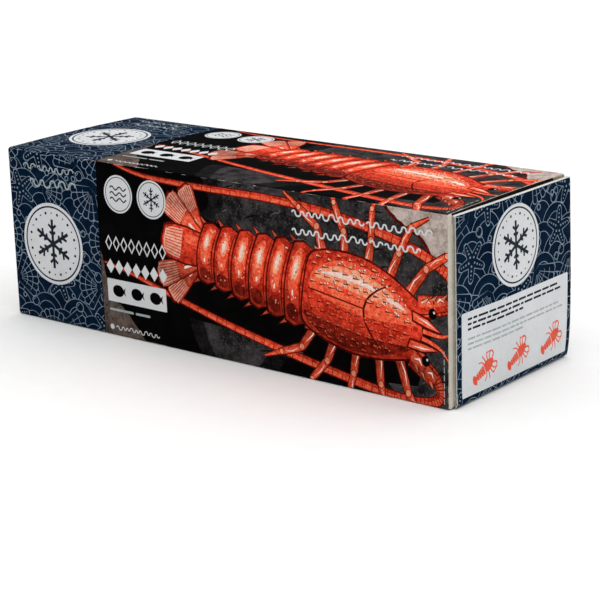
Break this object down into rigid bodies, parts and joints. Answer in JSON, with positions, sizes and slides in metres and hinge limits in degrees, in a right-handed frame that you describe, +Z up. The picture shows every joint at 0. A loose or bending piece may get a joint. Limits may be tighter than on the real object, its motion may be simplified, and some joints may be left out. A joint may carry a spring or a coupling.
{
  "type": "frozen seafood carton",
  "caption": "Long low shut carton of printed micro-flute board for frozen seafood, with an outer closing flap folded up from the bottom at each end.",
  "frame": {"origin": "middle of the footprint, on the surface that the carton rests on", "axes": "+X along the carton's length towards the end seen in the picture, +Y from the printed front panel towards the back panel, +Z up"},
  "size_m": [0.3388, 0.1172, 0.1082],
  "materials": {
    "printed_board": "varnished print on white-lined micro-flute board"
  },
  "bodies": {
    "root": {"carton": "printed_board"}
  },
  "joints": []
}
